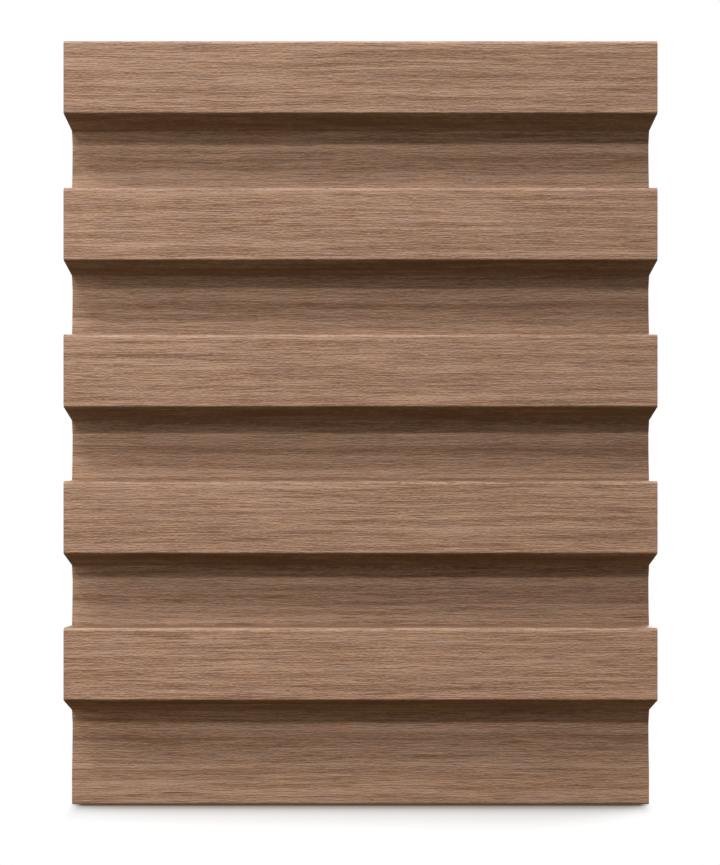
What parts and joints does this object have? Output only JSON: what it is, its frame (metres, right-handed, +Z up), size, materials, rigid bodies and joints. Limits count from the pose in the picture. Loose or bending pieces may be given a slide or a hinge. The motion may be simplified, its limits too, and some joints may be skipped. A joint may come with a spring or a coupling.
{
  "type": "sculpted wall panel",
  "caption": "Ribbed wooden wall panel with flat-fronted ribs, scooped grooves between them, a flat back to fix to a wall, and a lap joint along its long edges.",
  "frame": {"origin": "middle of the panel's height and length, on the flat back face that lies against the wall", "axes": "+X along the ribs, +Y into the wall, +Z up the wall with the lap tongue at the bottom; the ribs face -Y"},
  "size_m": [0.17, 0.026, 0.22],
  "materials": {
    "brown_wood": "matte"
  },
  "bodies": {
    "root": {"ribbed_panel": "brown_wood"}
  },
  "joints": []
}
